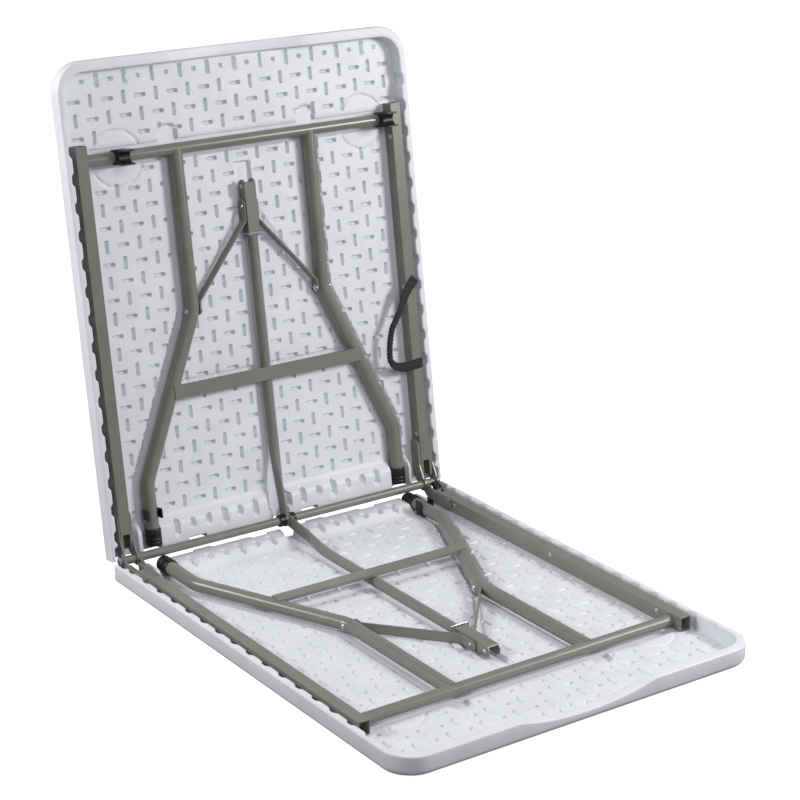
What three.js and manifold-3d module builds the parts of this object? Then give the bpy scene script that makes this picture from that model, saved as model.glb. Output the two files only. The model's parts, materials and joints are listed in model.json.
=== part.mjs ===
// A bi-fold blow-moulded folding table, half open: the lower half lies on its top, the upper half
// stands on the hinge. Both halves are one design, turned half a turn about the vertical.
// Each half is drawn flat: X from the hinge outwards, Y along the hinge, Z up from the table top.
import * as THREE from 'three';
import { mergeVertices } from 'three/addons/utils/BufferGeometryUtils.js';
import Module from 'manifold-3d';

const wasm = await Module();
wasm.setup();

// Driving dimensions, in millimetres
const halfLength = 900;            // from the hinge to the outer end
const tableWidth = 740;
const rimHeight = 35;
const hingeHeight = rimHeight + 2.5;   // hinge axis above the table top
const restFold = 80.6;             // degrees up from lying flat
const seamGap = 1;                 // from the hinge plane to the moulding
const clear = 0.3;                 // between pieces that touch

const cornerRadius = 55;
const floorHeight = 8.5;           // double wall of the moulding, inside the rim
const sideRim = 14;
const endRim = 20;
const topRounding = 10;
const rimRounding = 3;
const gripHalfWidth = 140;         // hand grip dipped into the outer rim
const gripDepth = 17;
const hingeLedge = 23;             // height of the thick strip beside the hinge
const ledgeWidth = 35;
const ledgeSlope = 40;
const scallopStart = 46;
const scallopPitch = 50;
const scallopRadius = 17;
const scallopDepth = 5;
const channelGap = 4;              // between a tube and the side of its channel
const footRun = -20;               // channels start here, past the hinge plane
const tabWidth = 38;
const tabReach = 6;
const tabPlaces = [64, -184];      // centres of the tabs; the notches are their mirror images

const railWidth = 22;
const railHeight = 26;
const railWall = 1.2;
const railBase = 8;
const railToEdge = 22;             // from the table's side to the rail
const railStart = 14;
const railOverhang = 28;           // beyond the cross tube
const slotLength = 32;
const slotWidth = 14;

const rodDiameter = 16;
const crossDistance = 724.5;       // from the hinge to the leg pivot
const crossDiameter = 21;
const crossHeight = 20;
const tubeWall = 1.2;
const legDiameter = 25;
const legSpread = 143;             // half the distance between the legs at the pivot
const footSpread = 275;            // half the distance between the feet
const legBend = 424;
const footBend = 128;
const legEnd = 13;                 // from the hinge to the bare end of the leg tube
const bendRadius = 60;
const crossbarPlace = 285;
const crossbarWidth = 25;
const crossbarThick = 6;
const capLength = 32;
const capWall = 2.5;
const legClipPlace = 70;
const legClipLength = 18;

const strutReach = 299;            // from the leg pivot to the strut bolt
const strutHeight = 18;
const strutThick = 3;
const strutTail = 14;              // beyond the apex pivot
const forkTail = 49;
const apexHeight = 18;
const apexFlat = 26;               // straight part of the strut before the apex
const centreChannelEnd = 690;
const centreChannelHalf = 21;
const nutRecess = 26;              // room for the rod's end nuts in the side rims
const centreDiameter = 19;
const centreEnd = 575;
const centreBend = 136;
const lugThick = 4;
const lugOffset = 2.6;
const lugHeight = 24;
const forkStart = 545;
const forkWall = 2;
const ringPlace = 551;
const ringWire = 3;
const ringHalfWidth = 17.5;

const eyeRadius = 13;
const plateThick = 2.7;
const plateLength = 92;
const spacerLength = 12;
const closeClipLength = 22;
const closeClipPlaces = [-259, 311];
const strapWidth = 24;
const strapThick = 2;
const round = 16;                  // sides of a round tube

const halfWidth = tableWidth / 2;
const railOuter = halfWidth - railToEdge;
const railInner = railOuter - railWidth;
const railCentre = (railOuter + railInner) / 2;
const railEnd = crossDistance + railOverhang;
const rodRadius = rodDiameter / 2;
const eyeHole = rodRadius + clear;
const legRadius = legDiameter / 2;
const strutBolt = crossDistance - strutReach;

// The apex lies where the centre tube and strut, straight when the legs are out, also fold flat
const straightReach = Math.hypot(crossDistance, crossHeight + strutReach - hingeHeight);
function foldedReach(x) {
  const tube = Math.hypot(x, apexHeight - hingeHeight);
  return tube + Math.hypot(x - strutBolt, apexHeight - crossHeight);
}
let apexDistance = (straightReach + strutBolt) / 2;
for (let i = 0; i < 8; i++) apexDistance -= (foldedReach(apexDistance) - straightReach) / 2;

const paint = {
  panel: { color: 0xdfe1e6, roughness: 0.55, metalness: 0 },
  steel: { color: 0x77766f, roughness: 0.45, metalness: 0.35 },
  zinc: { color: 0xc9cbcd, roughness: 0.25, metalness: 1 },
  black: { color: 0x141414, roughness: 0.5, metalness: 0 },
  webbing: { color: 0x101011, roughness: 0.9, metalness: 0 },
};

// Solids
function solid(geometry) {
  let plain = geometry.index ? geometry.toNonIndexed() : geometry.clone();
  for (const name of Object.keys(plain.attributes)) if (name !== 'position') plain.deleteAttribute(name);
  plain = mergeVertices(plain, 1e-4);
  const vertProperties = Float32Array.from(plain.attributes.position.array);
  const triVerts = Uint32Array.from(plain.index.array);
  return new wasm.Manifold(new wasm.Mesh({ numProp: 3, vertProperties, triVerts }));
}

function geometryOf(body) {
  const mesh = body.getMesh();
  const geometry = new THREE.BufferGeometry();
  geometry.setAttribute('position', new THREE.BufferAttribute(mesh.vertProperties.slice(), 3));
  geometry.setIndex(new THREE.BufferAttribute(mesh.triVerts.slice(), 1));
  const faceted = geometry.toNonIndexed();
  faceted.computeVertexNormals();
  return faceted;
}

function cut(body, ...tools) {
  return tools.reduce((rest, tool) => rest.subtract(tool), body);
}

function join(body, ...others) {
  return others.reduce((sum, other) => sum.add(other), body);
}

function block([x0, x1], [y0, y1], [z0, z1]) {
  const geometry = new THREE.BoxGeometry(x1 - x0, y1 - y0, z1 - z0);
  geometry.translate((x0 + x1) / 2, (y0 + y1) / 2, (z0 + z1) / 2);
  return solid(geometry);
}

// A round bar or ring along Y
function barAcross(radius, [y0, y1], x, z, sides = round) {
  const geometry = new THREE.CylinderGeometry(radius, radius, y1 - y0, sides);
  return solid(geometry.translate(x, (y0 + y1) / 2, z));
}

// An outline seen from above, raised from z0 to z1
function plate(shape, [z0, z1], curveSegments = 6) {
  const geometry = new THREE.ExtrudeGeometry(shape, { depth: z1 - z0, bevelEnabled: false, curveSegments });
  return solid(geometry.translate(0, 0, z0));
}

// An outline seen from the side, in X and Z, carried from y0 to y1
function sidePlate(shape, [y0, y1], curveSegments = 8) {
  const geometry = new THREE.ExtrudeGeometry(shape, { depth: y1 - y0, bevelEnabled: false, curveSegments });
  return solid(geometry.rotateX(Math.PI / 2).translate(0, y1, 0));
}

function shapeOf(points) {
  return new THREE.Shape(points.map(([x, y]) => new THREE.Vector2(x, y)));
}

// A band of even width along a line of points, seen from above
function band(points, width) {
  const line = points.map(([x, y]) => new THREE.Vector2(x, y));
  const edge = (offset) => line.map((point, i) => {
    const before = line[Math.max(i - 1, 0)];
    const after = line[Math.min(i + 1, line.length - 1)];
    const incoming = point.clone().sub(before).normalize();
    const outgoing = after.clone().sub(point).normalize();
    const along = incoming.clone().add(outgoing).normalize();
    const outer = outgoing.lengthSq() ? outgoing : incoming;
    const normal = new THREE.Vector2(-along.y, along.x);
    const mitre = Math.max(normal.dot(new THREE.Vector2(-outer.y, outer.x)), 0.3);
    return point.clone().addScaledVector(normal, offset / mitre);
  });
  return new THREE.Shape([...edge(width / 2), ...edge(-width / 2).reverse()]);
}

// A path of straight lines with round bends
function bentPath(points, radius) {
  const path = new THREE.CurvePath();
  let from = points[0];
  for (let i = 1; i < points.length - 1; i++) {
    const back = points[i - 1].clone().sub(points[i]).normalize();
    const on = points[i + 1].clone().sub(points[i]).normalize();
    const trim = radius * Math.tan((Math.PI - back.angleTo(on)) / 2);
    const enter = points[i].clone().addScaledVector(back, trim);
    const leave = points[i].clone().addScaledVector(on, trim);
    path.add(new THREE.LineCurve3(from, enter));
    path.add(new THREE.QuadraticBezierCurve3(enter, points[i], leave));
    from = leave;
  }
  path.add(new THREE.LineCurve3(from, points[points.length - 1]));
  return path;
}

// A bar of stadium section that changes along X: each station gives x, y, z, half height and half width
function stationBar(stations, sides = round) {
  const last = stations.length - 1;
  const geometry = new THREE.CylinderGeometry(1, 1, 1, sides, last);
  const place = geometry.attributes.position;
  for (let i = 0; i < place.count; i++) {
    const { x, y, z, high, wide } = stations[Math.round((place.getY(i) + 0.5) * last)];
    const across = THREE.MathUtils.clamp(place.getX(i), -1, 1);
    const up = THREE.MathUtils.clamp(place.getZ(i), -1, 1);
    const cap = Math.min(high, wide);
    const length = Math.hypot(across, up) < 1e-6 ? 0 : 1;
    const stretch = Math.sign(Math.round(up * 1e6)) * (high - cap) * length;
    place.setXYZ(i, x, y - across * Math.min(wide, cap), z + up * cap + stretch);
  }
  return solid(geometry);
}

// The moulded half top
function mouldingOutline() {
  const shape = new THREE.Shape();
  const edge = halfWidth;
  const corner = 4;
  const bump = (y, x) => {
    shape.lineTo(seamGap, y + tabWidth / 2);
    shape.lineTo(x, y + tabWidth / 2 - 2);
    shape.lineTo(x, y - tabWidth / 2 + 2);
    shape.lineTo(seamGap, y - tabWidth / 2);
  };
  shape.moveTo(seamGap + corner, -edge);
  shape.lineTo(halfLength - cornerRadius, -edge);
  shape.absarc(halfLength - cornerRadius, -edge + cornerRadius, cornerRadius, -Math.PI / 2, 0);
  shape.absarc(halfLength - cornerRadius, edge - cornerRadius, cornerRadius, 0, Math.PI / 2);
  shape.lineTo(seamGap + corner, edge);
  shape.lineTo(seamGap, edge - corner);
  const bumps = tabPlaces.flatMap((y) => [[y, seamGap - tabReach], [-y, seamGap + tabReach + clear]]);
  for (const [y, x] of bumps.sort((a, b) => b[0] - a[0])) bump(y, x);
  shape.lineTo(seamGap, -edge + corner);
  shape.closePath();
  return shape;
}

// A block with rounded long edges that reaches past the hinge, where the outline trims it
function roundedBlock([z0, z1], rounding) {
  const inner = rounding;
  const shape = new THREE.Shape();
  const past = -60;
  shape.moveTo(past, -halfWidth + inner);
  shape.lineTo(halfLength - cornerRadius, -halfWidth + inner);
  shape.absarc(halfLength - cornerRadius, cornerRadius - halfWidth, cornerRadius - inner, -Math.PI / 2, 0);
  shape.absarc(halfLength - cornerRadius, halfWidth - cornerRadius, cornerRadius - inner, 0, Math.PI / 2);
  shape.lineTo(past, halfWidth - inner);
  shape.closePath();
  const bevel = { bevelEnabled: true, bevelThickness: rounding, bevelSize: rounding, bevelSegments: 3 };
  const settings = { depth: z1 - z0 - 2 * rounding, curveSegments: 8, ...bevel };
  const geometry = new THREE.ExtrudeGeometry(shape, settings);
  return solid(geometry.translate(0, 0, z0 + rounding));
}

function gripCut() {
  const points = [];
  const steps = 14;
  for (let i = 0; i <= steps; i++) {
    const y = gripHalfWidth * (2 * i / steps - 1);
    const share = Math.abs(y / gripHalfWidth) ** 2.2;
    points.push([y, rimHeight - gripDepth * (1 - share)]);
  }
  points.push([gripHalfWidth, rimHeight + 5], [-gripHalfWidth, rimHeight + 5]);
  const settings = { depth: endRim + 20, bevelEnabled: false };
  const geometry = new THREE.ExtrudeGeometry(shapeOf(points), settings);
  const turn = new THREE.Matrix4().makeBasis(
    new THREE.Vector3(0, 1, 0), new THREE.Vector3(0, 0, 1), new THREE.Vector3(1, 0, 0));
  return solid(geometry.applyMatrix4(turn).translate(halfLength - endRim - 10, 0, 0));
}

// Middle line of a leg, run on past its pivot so that the channel clears the leg's end
function legLine(side) {
  return [[crossDistance + legRadius + channelGap, legSpread], [legBend, legSpread], [footBend, footSpread], [-5, footSpread]]
    .map(([x, y]) => [x, side * y]);
}

function moulding() {
  const above = rimHeight + 5;
  const lower = cut(roundedBlock([0, 2 * topRounding + 8], topRounding),
    block([-100, 1000], [-500, 500], [topRounding + 4, 100]));
  const upper = cut(roundedBlock([0, rimHeight], rimRounding),
    block([-100, 1000], [-500, 500], [-10, topRounding + 4]));
  const body = plate(mouldingOutline(), [-1, above], 8).intersect(join(lower, upper));

  const inside = new THREE.Shape();
  const inX = halfLength - endRim;
  const inY = halfWidth - sideRim;
  const inRadius = cornerRadius - sideRim;
  inside.moveTo(-20, -inY);
  inside.lineTo(inX - inRadius, -inY);
  inside.absarc(inX - inRadius, inRadius - inY, inRadius, -Math.PI / 2, 0);
  inside.absarc(inX - inRadius, inY - inRadius, inRadius, 0, Math.PI / 2);
  inside.lineTo(-20, inY);
  const ledge = [[-30, 0], [-30, hingeLedge], [ledgeWidth, hingeLedge],
    [ledgeWidth + ledgeSlope, floorHeight - 1], [ledgeWidth + ledgeSlope, 0]];
  const ledgeHalf = railInner - 14;
  const hollow = cut(plate(inside, [floorHeight, above]), sidePlate(shapeOf(ledge), [-ledgeHalf, ledgeHalf]));

  const footPocket = (side, end) => {
    const y = side * footSpread;
    const reach = legRadius + capWall + 2 * clear;
    return block([footRun, end], [y - reach - 1, y + reach + 1], [crossHeight - reach, above]);
  };
  const channels = [
    block([footRun, centreChannelEnd], [-centreChannelHalf, centreChannelHalf],
      [apexHeight - centreDiameter / 2 - channelGap, above]),
    footPocket(1, legClipPlace + legClipLength / 2 + 2),
    footPocket(-1, legEnd + capLength),
    ...[-1, 1].flatMap((side) => [
      plate(band(legLine(side), legDiameter + 2 * channelGap), [crossHeight - legRadius - 1, above]),
      block([footRun, railEnd + 8], side > 0 ? [railInner - 10, inY] : [-inY, 10 - railInner],
        [railBase - 0.5, above]),
      block([footRun, nutRecess], side > 0 ? [inY - 1, halfWidth - 7] : [7 - halfWidth, 1 - inY],
        [railBase, above]),
    ]),
  ];
  const scallops = [];
  for (let x = scallopStart; x < railEnd - 10; x += scallopPitch) {
    for (const side of [-1, 1]) {
      const geometry = new THREE.CylinderGeometry(scallopRadius, scallopRadius, rimHeight, 16);
      geometry.rotateX(Math.PI / 2).translate(x, side * (inY + scallopDepth - scallopRadius), rimHeight - 5);
      scallops.push(solid(geometry));
    }
  }
  return cut(body, hollow, ...channels, ...scallops, gripCut());
}

// Steel frame of one half
function rail(side) {
  const y = side * railCentre;
  const across = (gap) => [y - railWidth / 2 + gap, y + railWidth / 2 - gap];
  const up = (gap) => [railBase + gap, railBase + railHeight - gap];
  const outer = block([railStart, railEnd], across(0), up(0));
  const bore = block([railStart - 5, railEnd + 5], across(railWall), up(railWall));
  const inward = side > 0 ? [railInner - 3, railCentre] : [-railCentre, 3 - railInner];
  const crossHole = barAcross(crossDiameter / 2 + clear, inward, crossDistance, crossHeight, 24);
  const slot = block([railStart - 5, railStart + slotLength], [y - slotWidth / 2, y + slotWidth / 2],
    [railBase + railHeight / 2, rimHeight + 10]);
  return cut(outer, bore, crossHole, slot);
}

function crossTube() {
  const reach = railOuter - railWall - clear;
  const outer = barAcross(crossDiameter / 2, [-reach, reach], crossDistance, crossHeight, 24);
  const inner = barAcross(crossDiameter / 2 - tubeWall, [-reach - 5, reach + 5], crossDistance, crossHeight, 24);
  return cut(outer, inner);
}

function legPoints(side) {
  const start = new THREE.Vector3(crossDistance, side * legSpread, crossHeight);
  const bend = new THREE.Vector3(legBend, side * legSpread, crossHeight);
  const low = new THREE.Vector3(footBend, side * footSpread, crossHeight);
  const foot = new THREE.Vector3(legEnd, side * footSpread, crossHeight);
  const path = bentPath([start, bend, low, foot], bendRadius);
  return path.curves.flatMap((curve, i) => curve.getPoints(i % 2 ? 4 : 1).slice(i ? 1 : 0));
}

// A pipe through points that lie in one level plane
function pipe(points, radius, sides = round, wall = 0) {
  const skin = (r, extend) => {
    const geometry = new THREE.CylinderGeometry(1, 1, 1, sides, points.length - 1);
    const place = geometry.attributes.position;
    const last = points.length - 1;
    for (let i = 0; i < place.count; i++) {
      const k = Math.round((place.getY(i) + 0.5) * last);
      const ahead = points[Math.min(k + 1, last)].clone().sub(points[k]).normalize();
      const behind = points[k].clone().sub(points[Math.max(k - 1, 0)]).normalize();
      const along = ahead.clone().add(behind).normalize();
      const aside = new THREE.Vector3(-along.y, along.x, 0);
      const straight = ahead.lengthSq() ? ahead : behind;
      const mitre = 1 / Math.max(along.dot(straight), 0.5);
      const centre = points[k].clone();
      if (k === 0) centre.addScaledVector(along, -extend);
      if (k === last) centre.addScaledVector(along, extend);
      centre.addScaledVector(aside, -place.getX(i) * r * mitre);
      place.setXYZ(i, centre.x, centre.y, centre.z + place.getZ(i) * r);
    }
    return solid(geometry);
  };
  return wall ? cut(skin(radius, 0), skin(radius - wall, 5)) : skin(radius, 0);
}

function leg(side) {
  const tube = pipe(legPoints(side), legRadius, round, tubeWall);
  const saddle = barAcross(crossDiameter / 2 + clear, side > 0 ? [90, 200] : [-200, -90],
    crossDistance, crossHeight, 24);
  return cut(tube, saddle);
}

function crossbar() {
  const top = crossHeight + legRadius + 1.5;
  const slope = (footSpread - legSpread) / (legBend - footBend);
  const reach = legSpread + slope * (legBend - crossbarPlace);
  const sides = [crossbarPlace - crossbarWidth / 2, crossbarPlace + crossbarWidth / 2];
  const bar = block(sides, [-reach, reach], [top - crossbarThick, top]);
  const legs = [-1, 1].map((s) => pipe(legPoints(s), legRadius + clear));
  return cut(bar, ...legs).decompose().sort((a, b) => b.volume() - a.volume())[0];
}

function footCap(side) {
  const start = legEnd - capWall - clear;
  const y = side * footSpread;
  const profile = [[0, 0], [legRadius + capWall - 1, 0], [legRadius + capWall, 1],
    [legRadius + capWall, capLength], [legRadius + clear, capLength],
    [legRadius + clear, capWall], [0, capWall]].map(([r, z]) => new THREE.Vector2(r, z));
  const geometry = new THREE.LatheGeometry(profile, round);
  geometry.rotateZ(-Math.PI / 2).translate(start, y, crossHeight);
  return solid(geometry);
}

// A spring clip round a leg, open upwards, with two ears
function legClip() {
  const inner = legRadius + clear;
  const outer = legRadius + capWall;
  const half = [-legClipLength / 2, legClipLength / 2];
  const ring = new THREE.CylinderGeometry(outer, outer, legClipLength, 24).rotateZ(Math.PI / 2);
  const bore = new THREE.CylinderGeometry(inner, inner, legClipLength + 4, 24).rotateZ(Math.PI / 2);
  const body = join(solid(ring), ...[-1, 1].map((side) => {
    const span = [side * inner, side * outer].sort((a, b) => a - b);
    return block(half, span, [0, legRadius + 5]);
  }));
  const mouth = block([-20, 20], [-inner, inner], [0, 30]);
  const clip = cut(body, solid(bore), mouth);
  return clip.translate([legClipPlace, footSpread, crossHeight]);
}

// Centre brace: a tube with a flattened eye on the hinge rod
function centreStations(inset) {
  const radius = centreDiameter / 2 - inset;
  const flat = { high: lugHeight / 2, wide: lugThick / 2, y: lugOffset };
  const tube = { high: radius, wide: radius, y: 0 };
  const slope = (hingeHeight - apexHeight) / centreBend;
  const at = (x, share) => ({
    x,
    z: x < centreBend ? hingeHeight - slope * x : apexHeight,
    y: THREE.MathUtils.lerp(flat.y, tube.y, share),
    high: THREE.MathUtils.lerp(flat.high, tube.high, share),
    wide: THREE.MathUtils.lerp(flat.wide, tube.wide, share),
  });
  return [at(2, 0), at(70, 0), at(86, 0.15), at(100, 0.5), at(114, 0.85), at(126, 1),
    at(147, 1), at(centreEnd, 1)];
}

function centreTube() {
  const outer = stationBar(centreStations(0), 24);
  const eye = barAcross(eyeRadius, [lugOffset - lugThick / 2, lugOffset + lugThick / 2], 0, hingeHeight, 24);
  const hole = barAcross(eyeHole, [-20, 20], 0, hingeHeight, 24);
  const length = centreEnd - centreBend;
  const bore = new THREE.CylinderGeometry(centreDiameter / 2 - tubeWall, centreDiameter / 2 - tubeWall, length, 20);
  bore.rotateZ(Math.PI / 2).translate(centreBend + 20 + length / 2, 0, apexHeight);
  return cut(join(outer, eye), hole, solid(bore));
}

// Fork on the end of the centre tube: a channel, open below and at its ends
function fork() {
  const inner = centreDiameter / 2 + clear;
  const half = inner + forkWall;
  const end = apexDistance + forkTail;
  const bottom = apexHeight - strutHeight / 2;
  const top = apexHeight + centreDiameter / 2 + 2;
  const profile = new THREE.Shape();
  profile.moveTo(forkStart, bottom);
  profile.lineTo(end - 9, bottom);
  profile.absarc(end - 9, bottom + 9, 9, -Math.PI / 2, 0);
  profile.lineTo(end, top - 6);
  profile.lineTo(end - 6, top);
  profile.lineTo(forkStart, top);
  const body = sidePlate(profile, [-half, half]);
  const inside = block([forkStart - 5, end + 5], [-inner, inner], [bottom - 5, top - 1.8]);
  return cut(body, inside);
}

function forkPin() {
  const half = centreDiameter / 2;
  return barAcross(3.5, [-half, half], apexDistance, apexHeight, 16);
}

// Strut: a flat bar on edge, straight at both ends and slanting between
function strut(side) {
  const beside = centreDiameter / 2 + clear + forkWall + clear + strutThick / 2;
  const atLeg = legSpread - legRadius - clear - strutThick / 2;
  const end = apexDistance + strutTail;
  const line = [[strutBolt - 10, atLeg], [strutBolt + 16, atLeg], [apexDistance - apexFlat, beside],
    [end, beside]].map(([x, y]) => [x, side * y]);
  const bar = plate(band(line, strutThick), [apexHeight - strutHeight / 2, apexHeight + strutHeight / 2]);
  const radius = strutHeight / 2;
  const profile = new THREE.Shape();
  profile.moveTo(strutBolt, apexHeight - radius - 1);
  profile.lineTo(end - radius, apexHeight - radius - 1);
  profile.absarc(end - radius, apexHeight, radius + 0.2, -Math.PI / 2, Math.PI / 2);
  profile.lineTo(strutBolt, apexHeight + radius + 1);
  profile.absarc(strutBolt, apexHeight, radius + 0.2, Math.PI / 2, Math.PI * 1.5);
  return bar.intersect(sidePlate(profile, [-halfWidth, halfWidth]));
}

// A domed rivet head along Y, standing on the plane y and pointing to the side
function rivet(x, y, z, side, radius = 4, height = 2.4) {
  const profile = [[0, 0], [radius, 0], [radius * 0.85, height * 0.6], [radius * 0.45, height * 0.95],
    [0, height]].map(([r, h]) => new THREE.Vector2(r, h));
  const geometry = new THREE.LatheGeometry(profile, 12);
  if (side < 0) geometry.rotateX(Math.PI);
  return solid(geometry.translate(x, y, z));
}

function apexRivet(side) {
  const face = centreDiameter / 2 + clear + forkWall + clear + strutThick + clear;
  return rivet(apexDistance, side * face, apexHeight, side);
}

// Wire ring that slides over the strut tails and locks the legs
function lockRing() {
  const low = apexHeight - centreDiameter / 2 - ringWire / 2 - 0.5;
  const high = apexHeight + centreDiameter / 2 + ringWire / 2 + 3;
  const corner = 4;
  const shape = new THREE.Shape();
  const frame = (grow, target) => {
    const r = corner + grow;
    target.moveTo(ringHalfWidth + grow, low + corner);
    target.absarc(ringHalfWidth - corner, high - corner, r, 0, Math.PI / 2);
    target.absarc(corner - ringHalfWidth, high - corner, r, Math.PI / 2, Math.PI);
    target.absarc(corner - ringHalfWidth, low + corner, r, Math.PI, Math.PI * 1.5);
    target.absarc(ringHalfWidth - corner, low + corner, r, Math.PI * 1.5, Math.PI * 2);
  };
  const path = new THREE.Path();
  frame(ringWire / 2, shape);
  frame(-ringWire / 2, path);
  shape.holes.push(path);
  const bevel = { bevelEnabled: true, bevelThickness: 1, bevelSize: 1, bevelOffset: -1, bevelSegments: 1 };
  const geometry = new THREE.ExtrudeGeometry(shape, { depth: ringWire - 2, curveSegments: 3, ...bevel });
  const turn = new THREE.Matrix4().makeBasis(
    new THREE.Vector3(0, 1, 0), new THREE.Vector3(0, 0, 1), new THREE.Vector3(1, 0, 0));
  return solid(geometry.applyMatrix4(turn).translate(ringPlace - ringWire / 2 + 1, 0, 0));
}

// Hinge plates: an eye on the rod and an arm along the rail. Outside the other half's on one side
// of the table and inside them, with a joggled arm, on the other.
function hingePlate(face, direction, joggled) {
  const offset = joggled ? plateThick + clear : 0;
  const from = face + direction * (clear + offset);
  const eyeSpan = [from, from + direction * plateThick].sort((a, b) => a - b);
  const armSpan = [face + direction * clear, from + direction * plateThick].sort((a, b) => a - b);
  const low = railBase + 3;
  const high = railBase + railHeight - 1;
  const neck = new THREE.Shape();
  neck.moveTo(0, hingeHeight - eyeRadius + 0.3);
  neck.lineTo(railStart + 6, low);
  neck.lineTo(railStart + 24, low);
  neck.lineTo(railStart + 24, high);
  neck.lineTo(10, hingeHeight + 6);
  neck.lineTo(0, hingeHeight);
  const arm = new THREE.Shape();
  arm.moveTo(railStart + 2, low + 3);
  arm.lineTo(railStart + 6, low);
  arm.lineTo(plateLength - 8, low);
  arm.lineTo(plateLength, low + 8);
  arm.lineTo(plateLength - 10, high);
  arm.lineTo(railStart + 2, high);
  const eye = barAcross(eyeRadius, eyeSpan, 0, hingeHeight, 24);
  const hole = barAcross(eyeHole, [eyeSpan[0] - 5, eyeSpan[1] + 5], 0, hingeHeight, 24);
  return cut(join(eye, sidePlate(neck, eyeSpan), sidePlate(arm, armSpan)), hole);
}

function hingePlates(side) {
  const joggled = side < 0;
  return {
    inner: hingePlate(side * railInner, -side, joggled),
    outer: hingePlate(side * railOuter, side, joggled),
  };
}

function addMesh(group, name, body, look) {
  const mesh = new THREE.Mesh(geometryOf(body), new THREE.MeshStandardMaterial(paint[look]));
  mesh.name = name;
  group.add(mesh);
}

// One half, named with a prefix. Its pieces are named near and far as they stand in the table,
// so the turned half takes the near side at positive Y of its own.
function half(prefix, near) {
  const group = new THREE.Group();
  const add = (name, body, look) => addMesh(group, `${prefix}_${name}`, body, look);
  add('top', moulding(), 'panel');
  add('cross_tube', crossTube(), 'steel');
  add('leg_crossbar', crossbar(), 'steel');
  add('centre_tube', centreTube(), 'steel');
  add('centre_fork', fork(), 'steel');
  add('fork_pin', forkPin(), 'zinc');
  add('lock_ring', lockRing(), 'zinc');
  add('leg_clip', legClip(), 'black');
  for (const [word, side] of [['near', near], ['far', -near]]) {
    add(`rail_${word}`, rail(side), 'steel');
    add(`leg_${word}`, leg(side), 'steel');
    add(`foot_cap_${word}`, footCap(side), 'black');
    add(`strut_${word}`, strut(side), 'steel');
    add(`strut_rivet_${word}`, apexRivet(side), 'zinc');
    const plates = hingePlates(side);
    add(`hinge_plate_${word}_inner`, plates.inner, 'steel');
    add(`hinge_plate_${word}_outer`, plates.outer, 'steel');
  }
  return group;
}

// Hinge rod, its end nuts and the two spacers in its middle
const rodReach = railOuter + 2 * (plateThick + clear) + clear + 1;
function endNut(side) {
  const profile = [[0, 0], [9, 0], [9, 3], [5, 5], [0, 5.4]].map(([r, h]) => new THREE.Vector2(r, h));
  const geometry = new THREE.LatheGeometry(profile, 12);
  if (side < 0) geometry.rotateX(Math.PI);
  return solid(geometry.translate(0, side * (rodReach + clear), hingeHeight));
}

function spacer(side) {
  const start = lugOffset + lugThick / 2 + clear;
  const span = side > 0 ? [start, start + spacerLength] : [-start - spacerLength, -start];
  const hole = barAcross(eyeHole, [span[0] - 5, span[1] + 5], 0, hingeHeight);
  return cut(barAcross(rodRadius + 3.5, span, 0, hingeHeight), hole);
}

// Finger lever that locks the hinge, on a pin across the far rail
const leverPivot = { x: railStart + 20, z: railBase + 16 };
function lockLever() {
  const shape = new THREE.Shape();
  shape.moveTo(leverPivot.x + 6, leverPivot.z);
  shape.absarc(leverPivot.x, leverPivot.z, 6, 0, Math.PI, true);
  shape.lineTo(railStart + 2, rimHeight + 3);
  shape.lineTo(railStart, rimHeight + 9);
  shape.lineTo(railStart + 4, rimHeight + 11);
  shape.lineTo(leverPivot.x - 2, rimHeight);
  shape.closePath();
  const half = slotWidth / 2 - 2;
  return sidePlate(shape, [railCentre - half, railCentre + half]);
}

// Double clip: one jaw holds the upper cross tube, the other takes the lower one when closed
function closeClip(y) {
  const pitch = 2 * (hingeHeight - crossHeight);
  const inner = crossDiameter / 2 + clear;
  const outer = inner + 3;
  const half = closeClipLength / 2;
  const at = { x: crossDistance, z: crossHeight };
  const web = block([at.x - outer, at.x + outer], [y - half, y + half], [at.z, at.z + pitch]);
  const jaws = join(web, barAcross(outer, [y - half, y + half], at.x, at.z, 24));
  const second = block([at.x - inner, at.x + inner], [y - half - 1, y + half + 1],
    [at.z + pitch, at.z + pitch + 30]);
  const relief = barAcross(inner, [y - half - 1, y + half + 1], at.x, at.z + pitch, 24);
  const ears = block([at.x - outer, at.x + outer], [y - half, y + half],
    [at.z + pitch, at.z + pitch + 6]);
  const bore = barAcross(inner, [y - half - 1, y + half + 1], at.x, at.z, 24);
  const mouth = block([at.x - inner * 0.6, at.x + inner * 0.6], [y - half - 1, y + half + 1],
    [at.z - 30, at.z]);
  const flatFoot = block([at.x - 30, at.x + 30], [y - half - 1, y + half + 1],
    [-10, floorHeight + clear]);
  const waist = [-1, 1].map((side) => barAcross(3.5, [y - half - 1, y + half + 1],
    at.x + side * (outer + 1), at.z + pitch / 2, 12));
  return cut(join(jaws, ears), second, relief, bore, mouth, flatFoot, ...waist);
}

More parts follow.
